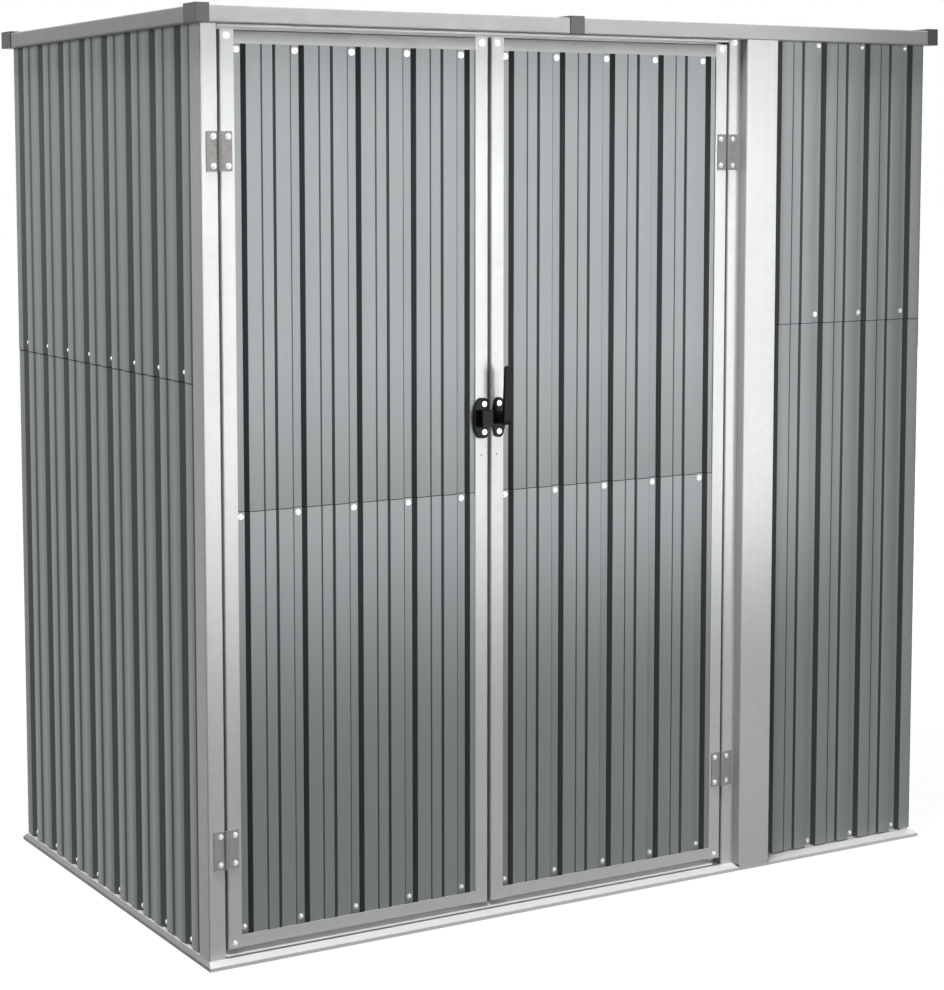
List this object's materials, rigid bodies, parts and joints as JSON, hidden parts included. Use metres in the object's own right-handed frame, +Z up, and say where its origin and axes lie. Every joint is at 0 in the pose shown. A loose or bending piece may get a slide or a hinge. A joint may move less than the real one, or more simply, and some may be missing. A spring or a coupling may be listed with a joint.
{
  "type": "metal storage shed",
  "caption": "Lean corrugated metal storage shed with a pale folded frame, two hinged doors with a lever latch, a fixed side panel and a low fascia roof.",
  "frame": {"origin": "middle of the shed's outline, on the ground under its base frame", "axes": "+Z up, +X to the right seen from the front, -Y out through the doors"},
  "size_m": [1.768, 1.052, 1.8065],
  "materials": {
    "sheet": "satin grey paint on corrugated steel",
    "frame": "bright galvanised",
    "fascia": "satin pale grey",
    "cap": "dark grey moulded",
    "hinge": "zinc plated",
    "latch": "black moulded"
  },
  "bodies": {
    "shed": {"left_wall_lower_sheet": "sheet", "left_wall_upper_sheet": "sheet", "right_wall_lower_sheet": "sheet", "right_wall_upper_sheet": "sheet", "back_wall_lower_sheet": "sheet", "back_wall_upper_sheet": "sheet", "front_panel_lower_sheet": "sheet", "front_panel_upper_sheet": "sheet", "roof_left_sheet": "sheet", "roof_right_sheet": "sheet", "base_front_rail": "frame", "base_back_rail": "frame", "base_left_rail": "frame", "base_right_rail": "frame", "door_sill": "frame", "front_left_post": "frame", "front_right_post": "frame", "back_left_post": "frame", "back_right_post": "frame", "hinge_post": "frame", "door_header": "frame", "wall_mid_rails": "frame", "wall_top_rails": "frame", "roof_purlins": "frame", "roof_front_fascia_left": "fascia", "roof_front_fascia_right": "fascia", "roof_back_fascia": "fascia", "roof_left_fascia": "fascia", "roof_right_fascia": "fascia", "roof_joint_cover": "cap", "roof_corner_caps": "cap", "frame_hinge_leaves": "hinge"},
    "left_door": {"left_door_lower_sheet": "sheet", "left_door_upper_sheet": "sheet", "left_door_stiles": "frame", "left_door_rails": "frame", "left_door_cross_bars": "frame", "left_door_hinge_leaves": "hinge", "latch_keeper": "latch"},
    "right_door": {"right_door_lower_sheet": "sheet", "right_door_upper_sheet": "sheet", "right_door_stiles": "frame", "right_door_rails": "frame", "right_door_cross_bars": "frame", "right_door_hinge_leaves": "hinge", "latch_plate": "latch"},
    "lever": {"latch_lever": "latch"}
  },
  "joints": [
    {"name": "left_door_swing", "type": "hinge", "parent": "shed", "child": "left_door", "pos_m": [-0.829, -0.48522, 0], "axis": [0, 0, -1], "range_deg": [0, 150]},
    {"name": "right_door_swing", "type": "hinge", "parent": "shed", "child": "right_door", "pos_m": [0.3315, -0.48522, 0], "axis": [0, 0, 1], "range_deg": [0, 150]},
    {"name": "lever_turn", "type": "hinge", "parent": "right_door", "child": "lever", "pos_m": [-0.229, -0.50652, 1.014], "axis": [0, 1, 0], "range_deg": [0, 90]}
  ]
}
